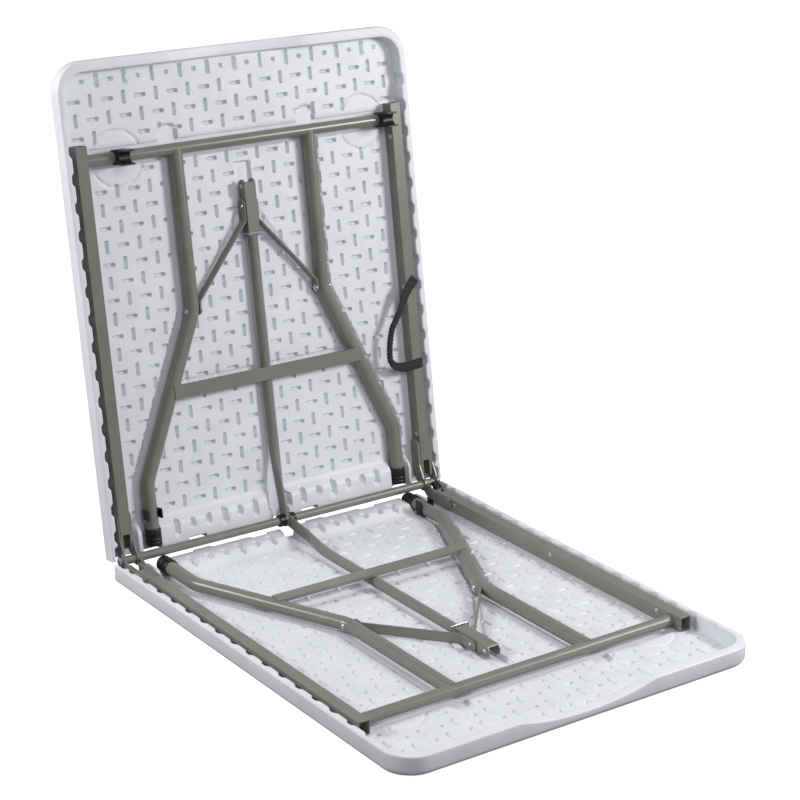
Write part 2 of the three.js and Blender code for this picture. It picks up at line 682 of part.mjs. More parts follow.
// Webbing handle: anchored twice on the rail, with a rolled grip between. It is drawn in the upper
// half's own frame, where the table's far side has negative Y.
const strapTop = 410;
const strapBottom = 242;
const gripY = railInner - 54;
function strapHandle() {
  const over = railBase + railHeight + clear + strapThick / 2;
  const stations = [
    [strapTop, railOuter + 1, over, strapWidth / 2, 1], [strapTop - 10, railCentre, over, strapWidth / 2, 1],
    [strapTop - 32, railInner - 6, over + 1, 9, 1.6], [strapTop - 62, railInner - 26, over, 6, 3.5],
    [strapTop - 90, gripY + 12, over - 1, 5.5, 4.5], [strapTop - 120, gripY + 2, over - 2, 5.5, 4.5],
    [strapBottom + 22, gripY, over - 2, 5.5, 4.5], [strapBottom + 6, gripY + 6, over - 1, 7, 3],
    [strapBottom - 2, gripY + 22, over, strapWidth / 2, 1.2], [strapBottom, railInner - 4, over, strapWidth / 2, 1],
    [strapBottom + 2, railOuter + 1, over, strapWidth / 2, 1],
  ];
  const points = stations.map(([x, y, z]) => new THREE.Vector3(x, -y, z));
  const curve = new THREE.CatmullRomCurve3(points, false, 'centripetal');
  const steps = 30;
  const geometry = new THREE.CylinderGeometry(1, 1, 1, 10, steps);
  const place = geometry.attributes.position;
  for (let i = 0; i < place.count; i++) {
    const t = THREE.MathUtils.clamp(place.getY(i) + 0.5, 0, 1);
    const at = t * (stations.length - 1);
    const k = Math.min(Math.floor(at), stations.length - 2);
    const wide = THREE.MathUtils.lerp(stations[k][3], stations[k + 1][3], at - k);
    const thick = THREE.MathUtils.lerp(stations[k][4], stations[k + 1][4], at - k);
    const centre = curve.getPoint(t);
    const along = curve.getTangent(t).setZ(0).normalize();
    const aside = new THREE.Vector3(-along.y, along.x, 0);
    centre.addScaledVector(aside, -place.getX(i) * wide);
    place.setXYZ(i, centre.x, centre.y, centre.z + place.getZ(i) * thick);
  }
  return solid(geometry);
}

// Assembly: the upper half is the lower one turned round, then folded up about the hinge rod
const lower = half('lower', -1);
const nested = half('upper', 1);
nested.rotation.z = Math.PI;
nested.position.z = -hingeHeight;
// In the upper half's own frame the table's far side has negative Y
addMesh(nested, 'close_clip_near', closeClip(-closeClipPlaces[0]), 'black');
addMesh(nested, 'close_clip_far', closeClip(-closeClipPlaces[1]), 'black');
const upper = new THREE.Group();
upper.add(nested);
upper.position.z = hingeHeight;
upper.rotation.y = THREE.MathUtils.degToRad(restFold);

addMesh(lower, 'hinge_rod', barAcross(rodRadius, [-rodReach, rodReach], 0, hingeHeight, 24), 'steel');
addMesh(lower, 'rod_nut_near', endNut(-1), 'zinc');
addMesh(lower, 'rod_nut_far', endNut(1), 'zinc');
addMesh(lower, 'rod_spacer_near', spacer(-1), 'black');
addMesh(lower, 'rod_spacer_far', spacer(1), 'black');
addMesh(lower, 'hinge_lock_lever', lockLever(), 'black');

addMesh(nested, 'carry_strap', strapHandle(), 'webbing');

const table = new THREE.Group();
table.name = 'folding_table';
table.add(lower, upper);
table.updateMatrixWorld(true);
const bounds = new THREE.Box3().setFromObject(table, true);
table.position.set(-(bounds.min.x + bounds.max.x) / 2, -(bounds.min.y + bounds.max.y) / 2, -bounds.min.z);

export default table;
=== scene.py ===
# %% [markdown]
# # A bi-fold moulded table, half open
# The object is a white folding table seen from below. Its lower half lies on its smooth face and
# its upper half leans back on the centre hinge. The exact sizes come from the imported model, which
# is loaded as a fixed frame. This script gives each visible piece its fine shape and its finish.

# %% Load the frame
import json
import math

import bpy
import numpy as np
from mathutils import Matrix, Vector


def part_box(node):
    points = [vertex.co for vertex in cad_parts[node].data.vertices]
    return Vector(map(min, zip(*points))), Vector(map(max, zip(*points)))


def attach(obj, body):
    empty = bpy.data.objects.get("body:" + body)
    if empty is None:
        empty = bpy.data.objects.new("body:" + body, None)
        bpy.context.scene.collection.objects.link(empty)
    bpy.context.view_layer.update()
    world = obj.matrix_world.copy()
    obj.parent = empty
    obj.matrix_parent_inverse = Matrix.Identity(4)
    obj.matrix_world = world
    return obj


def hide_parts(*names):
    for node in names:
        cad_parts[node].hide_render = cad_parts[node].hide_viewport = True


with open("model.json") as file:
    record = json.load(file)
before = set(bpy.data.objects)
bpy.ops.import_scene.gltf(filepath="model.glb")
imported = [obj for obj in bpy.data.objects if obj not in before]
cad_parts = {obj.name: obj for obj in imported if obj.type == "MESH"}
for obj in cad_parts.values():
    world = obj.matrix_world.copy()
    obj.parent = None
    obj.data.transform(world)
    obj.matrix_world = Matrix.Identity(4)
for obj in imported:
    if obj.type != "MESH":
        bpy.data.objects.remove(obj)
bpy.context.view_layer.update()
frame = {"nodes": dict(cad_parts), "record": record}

# %% [markdown]
# ## Two halves from one drawing
# Both halves come out of the same mould, so every piece is drawn once, in millimetres: x runs out
# from the hinge, y along it and z up from the smooth face. A matrix then takes it to its place.
# The upper half is turned round and folded up about the hinge rod, whose centre the frame gives.

# %% Where each half sits
MM = 0.001
HINGE_HEIGHT = 37.5      # hinge axis above the smooth face
FOLD = math.radians(80.6)
rod_low, rod_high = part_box("hinge_rod")
rod = (rod_low + rod_high) / 2
to_metres = Matrix.Scale(MM, 4)
PLACE = {
    "lower": Matrix.Translation((rod.x, 0, rod.z - HINGE_HEIGHT * MM)) @ to_metres,
    "upper": Matrix.Translation((rod.x, 0, rod.z)) @ Matrix.Rotation(FOLD, 4, "Y")
    @ Matrix.Rotation(math.pi, 4, "Z") @ Matrix.Translation((0, 0, -HINGE_HEIGHT * MM)) @ to_metres,
}
HALVES = ("lower", "upper")
print("hinge axis at", [round(c, 4) for c in rod])

# %% [markdown]
# ## Putting a piece in the scene
# A piece is a list of points and faces. One helper makes the mesh, shades it smooth, gives it a
# material, and lets it ride on its body. Edges sharper than a set angle stay crisp.

# %% Make a piece
def make_piece(name, points, faces, half, body, slot, material, sharp=40, stands_for=()):
    matrix = np.array(PLACE[half])
    world = np.asarray(points, float) @ matrix[:3, :3].T + matrix[:3, 3]
    mesh = bpy.data.meshes.new(name)
    mesh.from_pydata(world.tolist(), [], [tuple(map(int, f)) for f in faces])
    mesh.validate()
    mesh.shade_smooth()
    mesh.set_sharp_from_angle(angle=math.radians(sharp))
    mesh.materials.append(material)
    piece = bpy.data.objects.new(name, mesh)
    bpy.context.collection.objects.link(piece)
    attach(piece, body)
    if stands_for:
        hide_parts(*stands_for)
    print(name, len(mesh.polygons), "faces")
    return piece


def join_parts(parts):
    points, faces, start = [], [], 0
    for part_points, part_faces in parts:
        points.append(np.asarray(part_points, float))
        faces.extend([tuple(i + start for i in f) for f in part_faces])
        start += len(part_points)
    return np.concatenate(points), faces


# %% [markdown]
# ## Colours and nodes
# A paint or plastic is picked as an sRGB hex value, as on a colour card, but a shader works on
# linear light, so one function converts it. A second one adds a node with its settings and links,
# and every material below is built with it.

# %% Colour and node helpers
def linear(hex_colour):
    channels = [int(hex_colour[i:i + 2], 16) / 255 for i in (1, 3, 5)]
    return [c / 12.92 if c <= 0.04045 else ((c + 0.055) / 1.055) ** 2.4 for c in channels] + [1.0]


def add_node(tree, kind, settings=None, links=None, **attributes):
    node = tree.nodes.new(kind)
    for key, value in attributes.items():
        setattr(node, key, value)
    for key, value in (settings or {}).items():
        node.inputs[key].default_value = value
    for key, source in (links or {}).items():
        tree.links.new(source, node.inputs[key])
    return node


def start_material(name):
    material = bpy.data.materials.new(name)
    material.use_nodes = True
    tree = material.node_tree
    tree.nodes.clear()
    coordinates = add_node(tree, "ShaderNodeTexCoord").outputs["Object"]
    return material, tree, coordinates


def finish_material(tree, shader):
    add_node(tree, "ShaderNodeOutputMaterial", links={"Surface": shader.outputs["BSDF"]})


# %% [markdown]
# ## High density polyethylene, blow moulded
# The tops are blown from white polyethylene against a sand-blasted mould. That gives the eye a
# dense, slightly cool white with a soft wide highlight and a fine pebble grain. The true grain is
# about 0.4 mm, too fine to show here, so it is drawn at 2 mm, with a slow waviness of some 60 mm
# where the wall thickness varies.

# %% White polyethylene
def blow_moulded_polyethylene():
    material, tree, place = start_material("hdpe_blow_moulded_white")
    grain_size, wave_size = 2.0 * MM, 60 * MM
    grain = add_node(tree, "ShaderNodeTexNoise", {"Scale": 1 / grain_size, "Detail": 3.0},
                     {"Vector": place})
    wave = add_node(tree, "ShaderNodeTexNoise", {"Scale": 1 / wave_size, "Detail": 2.0},
                    {"Vector": place})
    colour = add_node(tree, "ShaderNodeValToRGB", links={"Fac": wave.outputs["Fac"]})
    colour.color_ramp.elements[0].position = 0.3
    colour.color_ramp.elements[0].color = linear("#E2E4EA")
    colour.color_ramp.elements[1].position = 0.7
    colour.color_ramp.elements[1].color = linear("#EAECF1")
    rough = add_node(tree, "ShaderNodeMapRange", {"To Min": 0.42, "To Max": 0.56},
                     {"Value": grain.outputs["Fac"]})
    pebble = add_node(tree, "ShaderNodeBump", {"Strength": 0.22, "Distance": 0.12 * MM},
                      {"Height": grain.outputs["Fac"]})
    ripple = add_node(tree, "ShaderNodeBump", {"Strength": 0.25, "Distance": 1.2 * MM},
                      {"Height": wave.outputs["Fac"], "Normal": pebble.outputs["Normal"]})
    shader = add_node(tree, "ShaderNodeBsdfPrincipled", {"IOR": 1.54, "Metallic": 0.0},
                      {"Base Color": colour.outputs["Color"], "Roughness": rough.outputs["Result"],
                       "Normal": ripple.outputs["Normal"]})
    finish_material(tree, shader)
    return material


polyethylene = blow_moulded_polyethylene()
print(polyethylene.name)

# %% [markdown]
# ## Steel, powder coated
# The tubes, rails and struts are mild steel with a baked warm grey powder. Powder flows into a
# faint orange peel about 1.5 mm across, so long narrow highlights break up a little at their
# edges. The colour drifts by a shade over some 45 mm, and the gloss over 9 mm, as the film varies.

# %% Grey powder coat
def powder_coated_steel():
    material, tree, place = start_material("steel_powder_coated_grey")
    peel_size, drift_size, gloss_size = 1.5 * MM, 45 * MM, 9 * MM
    peel = add_node(tree, "ShaderNodeTexNoise", {"Scale": 1 / peel_size, "Detail": 2.0},
                    {"Vector": place})
    drift = add_node(tree, "ShaderNodeTexNoise", {"Scale": 1 / drift_size, "Detail": 4.0},
                     {"Vector": place})
    gloss = add_node(tree, "ShaderNodeTexNoise", {"Scale": 1 / gloss_size, "Detail": 5.0},
                     {"Vector": place})
    colour = add_node(tree, "ShaderNodeValToRGB", links={"Fac": drift.outputs["Fac"]})
    colour.color_ramp.elements[0].position = 0.35
    colour.color_ramp.elements[0].color = linear("#7D7B76")
    colour.color_ramp.elements[1].position = 0.65
    colour.color_ramp.elements[1].color = linear("#82807A")
    rough = add_node(tree, "ShaderNodeMapRange", {"To Min": 0.27, "To Max": 0.3},
                     {"Value": gloss.outputs["Fac"]})
    bump = add_node(tree, "ShaderNodeBump", {"Strength": 0.03, "Distance": 0.03 * MM},
                    {"Height": peel.outputs["Fac"]})
    shader = add_node(tree, "ShaderNodeBsdfPrincipled", {"IOR": 1.52, "Metallic": 0.0},
                      {"Base Color": colour.outputs["Color"], "Roughness": rough.outputs["Result"],
                       "Normal": bump.outputs["Normal"]})
    finish_material(tree, shader)
    return material


powder_coat = powder_coated_steel()
print(powder_coat.name)

# %% [markdown]
# ## Steel, zinc plated
# Rivets, screws and the sliding ring are bright zinc on steel. Plating leaves a soft metal shine
# with a faint bluish mottling where the bath worked unevenly, a few millimetres across.

# %% Zinc plate
def zinc_plated_steel():
    material, tree, place = start_material("steel_zinc_plated_bright")
    spangle_size = 3 * MM
    spangle = add_node(tree, "ShaderNodeTexNoise", {"Scale": 1 / spangle_size, "Detail": 3.0},
                       {"Vector": place})
    colour = add_node(tree, "ShaderNodeValToRGB", links={"Fac": spangle.outputs["Fac"]})
    colour.color_ramp.elements[0].color = linear("#B4B7BA")
    colour.color_ramp.elements[1].color = linear("#D3D5D8")
    rough = add_node(tree, "ShaderNodeMapRange", {"To Min": 0.2, "To Max": 0.38},
                     {"Value": spangle.outputs["Fac"]})
    shader = add_node(tree, "ShaderNodeBsdfPrincipled", {"Metallic": 1.0},
                      {"Base Color": colour.outputs["Color"], "Roughness": rough.outputs["Result"]})
    finish_material(tree, shader)
    return material


zinc_plate = zinc_plated_steel()
print(zinc_plate.name)

# %% [markdown]
# ## Polypropylene, injection moulded
# The clips, foot caps, lever and spacers are black polypropylene from a lightly etched mould. It
# is nearly black with a broad grey sheen and a spark-eroded grain of about 0.5 mm, drawn at 1 mm.

# %% Black polypropylene
def moulded_polypropylene():
    material, tree, place = start_material("polypropylene_moulded_black")
    grain_size = 1.0 * MM
    grain = add_node(tree, "ShaderNodeTexNoise", {"Scale": 1 / grain_size, "Detail": 2.0},
                     {"Vector": place})
    colour = add_node(tree, "ShaderNodeValToRGB", links={"Fac": grain.outputs["Fac"]})
    colour.color_ramp.elements[0].color = linear("#0B0B0C")
    colour.color_ramp.elements[1].color = linear("#151516")
    rough = add_node(tree, "ShaderNodeMapRange", {"To Min": 0.36, "To Max": 0.5},
                     {"Value": grain.outputs["Fac"]})
    bump = add_node(tree, "ShaderNodeBump", {"Strength": 0.2, "Distance": 0.1 * MM},
                    {"Height": grain.outputs["Fac"]})
    shader = add_node(tree, "ShaderNodeBsdfPrincipled", {"IOR": 1.49, "Metallic": 0.0},
                      {"Base Color": colour.outputs["Color"], "Roughness": rough.outputs["Result"],
                       "Normal": bump.outputs["Normal"]})
    finish_material(tree, shader)
    return material


polypropylene = moulded_polypropylene()
print(polypropylene.name)

# %% [markdown]
# ## Polyester webbing, woven
# The carry strap is narrow woven tape, a fine ribbing with a dusty sheen on the black yarn. Its
# threads are about 1.2 mm apart. That is too fine to show here, so a band is drawn for every
# second one, about 2.4 mm apart.

# %% Black webbing
def woven_webbing():
    material, tree, place = start_material("polyester_webbing_woven_black")
    thread, turn = 1.2 * MM, 6.28      # a turn in radians: a wave node runs 20 radians a unit
    bands = {"Scale": 1 / thread / turn, "Distortion": 0.6}
    across = add_node(tree, "ShaderNodeTexWave", bands, {"Vector": place}, bands_direction="X")
    along = add_node(tree, "ShaderNodeTexWave", bands, {"Vector": place}, bands_direction="Z")
    weave = add_node(tree, "ShaderNodeMath", operation="MULTIPLY",
                     links={0: across.outputs["Fac"], 1: along.outputs["Fac"]})
    colour = add_node(tree, "ShaderNodeValToRGB", links={"Fac": weave.outputs["Value"]})
    colour.color_ramp.elements[0].color = linear("#0C0C0E")
    colour.color_ramp.elements[1].color = linear("#26262A")
    bump = add_node(tree, "ShaderNodeBump", {"Strength": 0.5, "Distance": 0.3 * MM},
                    {"Height": weave.outputs["Value"]})
    shader = add_node(tree, "ShaderNodeBsdfPrincipled",
                      {"IOR": 1.5, "Roughness": 0.75, "Sheen Weight": 0.3, "Sheen Roughness": 0.5},
                      {"Base Color": colour.outputs["Color"], "Normal": bump.outputs["Normal"]})
    finish_material(tree, shader)
    return material


webbing = woven_webbing()
print(webbing.name)

# %% [markdown]
# ## The moulded floor of a half
# A blown top has two walls that touch in hundreds of small dog-bone dimples, which stiffen it. The
# dimples stand on a square lattice and turn a quarter from one to the next. Channels are sunk
# where the folded tubes lie. A height map suits this: every point of a grid gets its height from
# the distance to the nearest dimple and channel. The grid lines are set to follow the
# dimples' edges, so that few points give clean slots.

# %% Sizes of the moulding, in millimetres
LENGTH, WIDTH = 900.0, 740.0
HALF_WIDTH = WIDTH / 2
RIM_TOP, FLOOR, WELD = 35.0, 8.5, 1.4      # WELD: floor of a dimple, where the walls touch
LOWEST = 1.0                               # no part of the floor goes below this
SIDE_RIM, END_RIM = 14.0, 20.0
INNER_X, INNER_Y = LENGTH - END_RIM, HALF_WIDTH - SIDE_RIM
OUTER_CORNER, INNER_CORNER = 55.0, 41.0
SEAM = 1.0
TABS, NOTCHES, TAB_WIDTH = (64.0, -184.0), (-64.0, 184.0), 38.0
CROSS_X, BEND_X, FOOT_X = 724.5, 424.0, 128.0
LEG_Y, FOOT_Y, BAR_X = 143.0, 275.0, 285.0
LATTICE_X0, PITCH_X = 827.5, 32.7
LATTICE_Y = {"lower": (6.4, 33.1), "upper": (-1.75, 33.05)}
FIELD_LOW, FIELD_HIGH = 70.0, 845.0        # where dimple centres begin and end along x
FIELD_NARROW, FIELD_WIDE, WIDE_FROM = 306, 338, 757
CROWDED = -9                               # a dimple this deep in a channel is left out
LAST_ROW_X, LAST_ROW_STEP, LAST_ROW_SHIFT = 862.0, 56.9, 3.1
LAST_SLOTS, LAST_DOTS, DOT_RADIUS = 300, 320, 3.6
PADS = {"lower": ((718, -256), (723, 272)), "upper": ((720, 257), (723, -272))}
PAD_RING, PAD_CLEAR, RING_DEPTH, PAD_SLOT_DEPTH = 51, 54, 2.6, 5
STRIP_TOP, STRIP_X, STRIP_SLOPE = 23, 37, 24
STRIP_SIDE, STRIP_SIDE_SLOPE = 306, 6
STRIP_SLOT_X, STRIP_SLOT_FIRST, STRIP_SLOT_STEP, STRIP_SLOT_DEPTH = 33, 19.5, 34.3, 11
LONG_SLOT, SHORT_SLOT, LONG_ONES = 14.0, 8.5, (0, 1, 3, 6)


def ease(value):
    t = np.clip(value, 0, 1)
    return t * t * (3 - 2 * t)


def to_segment(x, y, a, b):
    (ax, ay), (bx, by) = a, b
    dx, dy = bx - ax, by - ay
    t = np.clip(((x - ax) * dx + (y - ay) * dy) / (dx * dx + dy * dy), 0, 1)
    return np.hypot(x - ax - t * dx, y - ay - t * dy)


def to_line(x, y, points):
    return np.min([to_segment(x, y, a, b) for a, b in zip(points, points[1:])], axis=0)


LEG_OUT = 5.0      # the leg channels lie a little outside the legs
LEG_LINES = [[(751, s * (LEG_Y + LEG_OUT)), (BEND_X, s * (LEG_Y + LEG_OUT)),
              (FOOT_X, s * (FOOT_Y + LEG_OUT)), (-30, s * (FOOT_Y + LEG_OUT))] for s in (-1, 1)]
STRUT_LINES = [[(425, s * 129), (601, s * 13.6)] for s in (-1, 1)]
print("dimples across the field:", int(2 * FIELD_WIDE / LATTICE_Y["lower"][1]))


# %% [markdown]
# Each dimple is two round ends joined by a narrower waist. The signed distance to that outline,
# turned into a short slope, gives its wall. A channel works the same way: each one is a distance
# outside its edge, the height of its floor, and the width of its slope.

# %% Height of the floor
def dogbone(along, across, reach=8.2, end=3.7, waist=2.7):
    return np.minimum(np.hypot(np.abs(along) - reach, across) - end,
                      np.maximum(np.abs(across) - waist, np.abs(along) - reach))


def pressed(edge, start=0.5, slope=1.5):
    return ease((start - edge) / slope)


LEG_CHANNEL, STRUT_CHANNEL, BAR_CHANNEL, BAR_END = 20, 6, 17, 212
TUBE_CHANNEL, CENTRE_END = 18, 684         # the cross tube's and the centre tube's
RAIL_CHANNEL_Y, RAIL_CHANNEL_END = 316, 764


def channels(x, y):
    side = np.abs(y)
    found = [(to_line(x, y, line) - LEG_CHANNEL, 1.6, 2.5) for line in LEG_LINES]
    found += [(to_line(x, y, line) - STRUT_CHANNEL, 5.5, 2.5) for line in STRUT_LINES]
    found += [
        (np.maximum(np.abs(x - CROSS_X) - TUBE_CHANNEL, side - RAIL_CHANNEL_Y), 2.0, 2.5),
        (np.maximum(np.abs(x - BAR_X) - BAR_CHANNEL, side - BAR_END), 2.4, 2.5),
        (np.maximum(side - TUBE_CHANNEL, x - CENTRE_END), 1.6, 2.5),
        (np.maximum(RAIL_CHANNEL_Y - side, x - RAIL_CHANNEL_END), 7.6, 3),
    ]
    return found


def dimple_field(x, y, half):
    y0, pitch_y = LATTICE_Y[half]
    column = np.round((LATTICE_X0 - x) / PITCH_X)
    row = np.round((y - y0) / pitch_y)
    centre_x, centre_y = LATTICE_X0 - PITCH_X * column, y0 + pitch_y * row
    dx, dy = x - centre_x, y - centre_y
    lengthways = (column + row) % 2 == 1
    edge = dogbone(np.where(lengthways, dx, dy), np.where(lengthways, dy, dx))
    wide = np.where(centre_x < WIDE_FROM, FIELD_NARROW, FIELD_WIDE)
    field = (centre_x > FIELD_LOW) & (centre_x < FIELD_HIGH) & (np.abs(centre_y) < wide)
    for px, py in PADS[half]:
        field &= np.hypot(centre_x - px, centre_y - py) > PAD_CLEAR
    for away, *_ in channels(centre_x, centre_y):
        field &= ~(away < CROWDED)
    return np.where(field, pressed(edge), 0)


def last_row(height, x, y):
    # Beside the outer rim: long slots with round dots between
    slot_y = np.round((y + LAST_ROW_SHIFT) / LAST_ROW_STEP) * LAST_ROW_STEP - LAST_ROW_SHIFT
    slot = pressed(dogbone(x - LAST_ROW_X, y - slot_y)) * (FLOOR - WELD)
    height = np.minimum(height, FLOOR - slot * (np.abs(slot_y) < LAST_SLOTS))
    dot_y = (np.floor((y + LAST_ROW_SHIFT) / LAST_ROW_STEP) + 0.5) * LAST_ROW_STEP - LAST_ROW_SHIFT
    dot = pressed(np.hypot(x - LAST_ROW_X, y - dot_y) - DOT_RADIUS) * (FLOOR - WELD)
    return np.minimum(height, FLOOR - dot * (np.abs(dot_y) < LAST_DOTS))


def disc_pads(height, x, y, half):
    for px, py in PADS[half]:
        away = np.hypot(x - px, y - py)
        ring = 1 - ease((np.abs(away - PAD_RING) - 1.2) / 1.6)
        height = height - RING_DEPTH * ring
        slot = dogbone(y - py, x - px, 9, 5, 5)
        height = height - PAD_SLOT_DEPTH * pressed(slot, 0.5, 2)
    return height


def hinge_strip(height, x, y):
    # The thick strip beside the hinge, with its own slots
    strip = 1 - ease((x - STRIP_X) / STRIP_SLOPE)
    strip *= 1 - ease((np.abs(y) - STRIP_SIDE) / STRIP_SIDE_SLOPE)
    raised = np.maximum(height, FLOOR + (STRIP_TOP - FLOOR) * strip)
    height = np.where(strip > 0, raised, height)
    for k in range(7):
        reach = LONG_SLOT if k in LONG_ONES else SHORT_SLOT
        for s in (-1, 1):
            slot = dogbone(x - STRIP_SLOT_X - (LONG_SLOT - reach) * 0.3,
                           y - s * (STRIP_SLOT_FIRST + STRIP_SLOT_STEP * k), reach - 5, 5.4, 4.6)
            height = height - STRIP_SLOT_DEPTH * pressed(slot, 0.6, 2.4) * (height > 10)
    return height


def floor_height(x, y, half):
    waviness = 0.35 * np.sin(x / 21.0) * np.sin(y / 27.0)
    height = FLOOR + waviness - dimple_field(x, y, half) * (FLOOR - WELD)
    height = last_row(height, x, y)
    height = disc_pads(height, x, y, half)
    height = hinge_strip(height, x, y)
    for away, level, slope in channels(x, y):
        height = np.minimum(height, level + (height - level) * ease((away + slope) / slope))
    return np.maximum(height, LOWEST)


# %% [markdown]
# The hinge edge is castellated, so that the two halves mesh when they lie flat. The first lines
# of the grid follow that outline and round over its edge, and a skirt closes it down to the
# smooth face. The two far corners are drawn in, so that they stay inside the rim.

# %% Build the floor grid
TAB_REACH, NOTCH_REACH, TAB_SLOPE = 6, 6.3, 1.5


def hinge_edge(y):
    edge = np.full_like(y, SEAM)
    for place in TABS:
        edge -= TAB_REACH * ease((TAB_WIDTH / 2 - np.abs(y - place)) / TAB_SLOPE)
    for place in NOTCHES:
        edge += NOTCH_REACH * ease((TAB_WIDTH / 2 - np.abs(y - place)) / TAB_SLOPE)
    return edge


def tab_edges(*offsets):
    return [p + s * (TAB_WIDTH / 2 + d)
            for p in (*TABS, *NOTCHES) for s in (-1, 1) for d in offsets]


# Offsets of the grid lines from a dimple's centre
GRID_LINES = (-12.4, -11.2, -8.2, -4.0, -2.6, 0.0, 2.6, 4.0, 8.2, 11.2, 12.4, 16.4)
EDGE_LINES, EDGE_FALL, EDGE_BLEND = [0, 0.9, 3, 6, 10, 14, 19], (2.5, 0.8), 20
LAST_ROW_LINES = [LAST_ROW_X + d for d in (-7, -4, -2, 0, 2, 4, 7, 10)]
FLOOR_SIDE, FIRST_LINE, CLOSEST = 361.0, 24.0, 0.8


def lattice_lines(first, pitch, low, high, extra=()):
    start = math.floor((low - first) / pitch) - 1
    count = int((high - low) / pitch) + 4
    lines = [first + pitch * (start + k) + off for k in range(count) for off in GRID_LINES]
    lines = sorted([v for v in [*lines, *extra] if low < v < high] + [low, high])
    kept = [lines[0]]
    for value in lines[1:]:
        if value - kept[-1] > CLOSEST:
            kept.append(value)
    return np.array(kept)


def floor_grid(half):
    y_lines = lattice_lines(*LATTICE_Y[half], -FLOOR_SIDE, FLOOR_SIDE, tab_edges(-1.2, 0.4))
    x_lines = lattice_lines(LATTICE_X0 % PITCH_X, PITCH_X, FIRST_LINE, INNER_X + 2, LAST_ROW_LINES)
    x_lines = np.concatenate([EDGE_LINES, x_lines])
    x, y = np.meshgrid(x_lines, y_lines, indexing="ij")
    x = x + hinge_edge(y) * (1 - ease(x / EDGE_BLEND))
    z = floor_height(x, y, half)
    for column, fall in enumerate(EDGE_FALL):
        z[column] -= np.where(z[column] > 12, fall, 0)
    # Keep the grid's corners inside the rim
    cx, cy, reach = LENGTH - OUTER_CORNER, HALF_WIDTH - OUTER_CORNER, OUTER_CORNER - 4
    over = (x > cx) & (np.abs(y) > cy)
    away = np.hypot(x - cx, np.abs(y) - cy)
    pull = np.where(over & (away > reach), reach / np.maximum(away, 1), 1)
    x = np.where(over, cx + (x - cx) * pull, x)
    y = np.where(over, np.sign(y) * (cy + (np.abs(y) - cy) * pull), y)
    z = np.where(over & (away > reach - 8), FLOOR, z)
    rows, columns = x.shape
    points = np.stack([x, y, z], -1).reshape(-1, 3)
    index = np.arange(rows * columns).reshape(rows, columns)
    a, b, c, d = index[:-1, :-1], index[1:, :-1], index[1:, 1:], index[:-1, 1:]
    faces = np.stack([a, b, c, d], -1).reshape(-1, 4).tolist()
    # Skirt down the hinge edge to the smooth face
    skirt = len(points)
    low = points[index[0]].copy()
    low[:, 2] = 0
    points = np.concatenate([points, low])
    faces += [(index[0, i + 1], skirt + i + 1, skirt + i, index[0, i]) for i in range(columns - 1)]
    return points, faces


# %% [markdown]
# ## The rim and the smooth face
# The rim is a hollow bead round three sides. It is a section swept along the outline: a 10 mm
# round below, a 3 mm round on top, and an inner wall that goes down past the floor. Along the
# rails the inner wall is scalloped, and at the outer end the top dips for the fingers.

# %% Build the rim
SCALLOP_PITCH, SCALLOP_START, SCALLOP_DEPTH = 50.0, 46.0, 5.0
SCALLOPS_FROM, SCALLOPS_TO = 30, 835
RAIL_ROOM, RAIL_ROOM_END = 7.0, 26         # the wall stands back where the rails end
STATION_STEP, CORNER_STEPS, END_STATIONS = 4.0, 16, 56


def rim_stations():
    outer, inner = [], []
    for x in np.arange(SEAM, LENGTH - OUTER_CORNER, STATION_STEP):
        near = np.abs((x - SCALLOP_START + SCALLOP_PITCH / 2) % SCALLOP_PITCH - SCALLOP_PITCH / 2)
        bite = 0.0
        if SCALLOPS_FROM < x < SCALLOPS_TO:
            bite = SCALLOP_DEPTH * ease((13 - near) / 7)
        if x < RAIL_ROOM_END:
            bite = RAIL_ROOM
        outer.append((x, HALF_WIDTH))
        inner.append((min(x, INNER_X - INNER_CORNER), INNER_Y + bite))
    cx, cy = LENGTH - OUTER_CORNER, HALF_WIDTH - OUTER_CORNER
    ix, iy = INNER_X - INNER_CORNER, INNER_Y - INNER_CORNER
    for k in range(CORNER_STEPS + 1):
        angle = math.pi / 2 * (1 - k / CORNER_STEPS)
        outer.append((cx + OUTER_CORNER * math.cos(angle), cy + OUTER_CORNER * math.sin(angle)))
        inner.append((ix + INNER_CORNER * math.cos(angle), iy + INNER_CORNER * math.sin(angle)))
    for y in np.linspace(cy, 0, END_STATIONS)[1:]:
        outer.append((LENGTH, y))
        inner.append((INNER_X, min(y, iy)))
    return [np.array(line + [(x, -y) for x, y in line[-2::-1]]) for line in (outer, inner)]


GRIP_HALF, GRIP_LOW, GRIP_CURVE = 140.0, 18.0, 2.2
BEAD, CROWN = 10, 3                        # radii of the rounds below and on top
WALL_FOOT = ((0.4, 14), (2.2, 9), (2.6, 5))      # past the wall, height


def rim_section(outer, inner):
    side = np.abs(outer[:, 1])
    dip = (outer[:, 0] > LENGTH - 1) & (side < GRIP_HALF)
    grip = GRIP_LOW + (RIM_TOP - GRIP_LOW) * (side / GRIP_HALF) ** GRIP_CURVE
    top = np.where(dip, grip, RIM_TOP)
    inward = inner - outer
    thick = np.linalg.norm(inward, axis=1)
    inward /= thick[:, None]
    flat = 0 * top
    loops = []
    for angle in (math.pi / 2 * k / 6 for k in range(7)):
        loops.append((flat + BEAD * (1 - math.sin(angle)), flat + BEAD * (1 - math.cos(angle))))
    for angle in (math.pi / 2 * k / 4 for k in range(5)):
        loops.append((flat + CROWN * (1 - math.cos(angle)), top - CROWN + CROWN * math.sin(angle)))
    for angle in (math.pi / 2 * k / 4 for k in range(5)):
        loops.append((thick - CROWN * (1 - math.sin(angle)), top - CROWN + CROWN * math.cos(angle)))
    for past, height in WALL_FOOT:
        loops.append((thick + past, flat + height))
    return [np.column_stack([outer + inward * off[:, None], z]) for off, z in loops]


